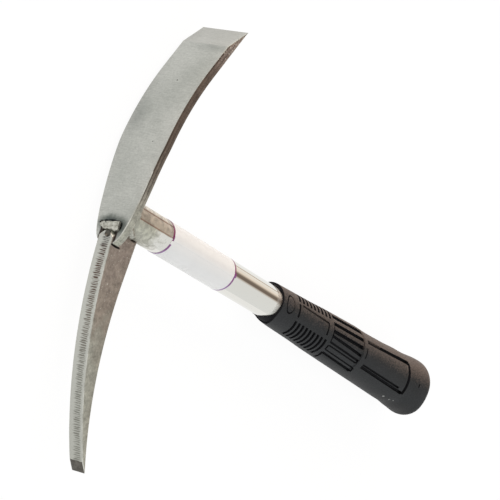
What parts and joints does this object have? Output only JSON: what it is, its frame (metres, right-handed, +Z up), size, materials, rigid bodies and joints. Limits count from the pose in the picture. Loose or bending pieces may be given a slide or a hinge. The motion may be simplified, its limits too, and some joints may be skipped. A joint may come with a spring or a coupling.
{
  "type": "hand pickaxe",
  "caption": "Short pickaxe with a curved adze plate and a tapering pick plate welded to a steel tube handle that carries a ribbed rubber grip",
  "frame": {"origin": "Middle of the outline of the tool as it lies on its side, at the height of the surface under its grip.", "axes": "+X runs along the handle from the head to the butt of the grip. +Y points to the adze's cutting edge and -Y to the pick's tip. +Z is up, across the width of the plates."},
  "size_m": [0.37, 0.2821, 0.04],
  "materials": {
    "ground_steel": "ground, satin",
    "cut_steel": "cut edges, ground front",
    "polished_steel": "polished",
    "weld_steel": "dressed weld",
    "label_film": "satin film",
    "grip_rubber": "moulded, matt"
  },
  "bodies": {
    "root": {"adze_blade": "ground_steel", "pick_blade": "cut_steel", "handle_tube": "polished_steel", "label": "label_film", "grip": "grip_rubber", "front_weld": "weld_steel", "tube_weld": "weld_steel", "cheek_weld_upper": "weld_steel", "cheek_weld_lower": "weld_steel"}
  },
  "joints": []
}
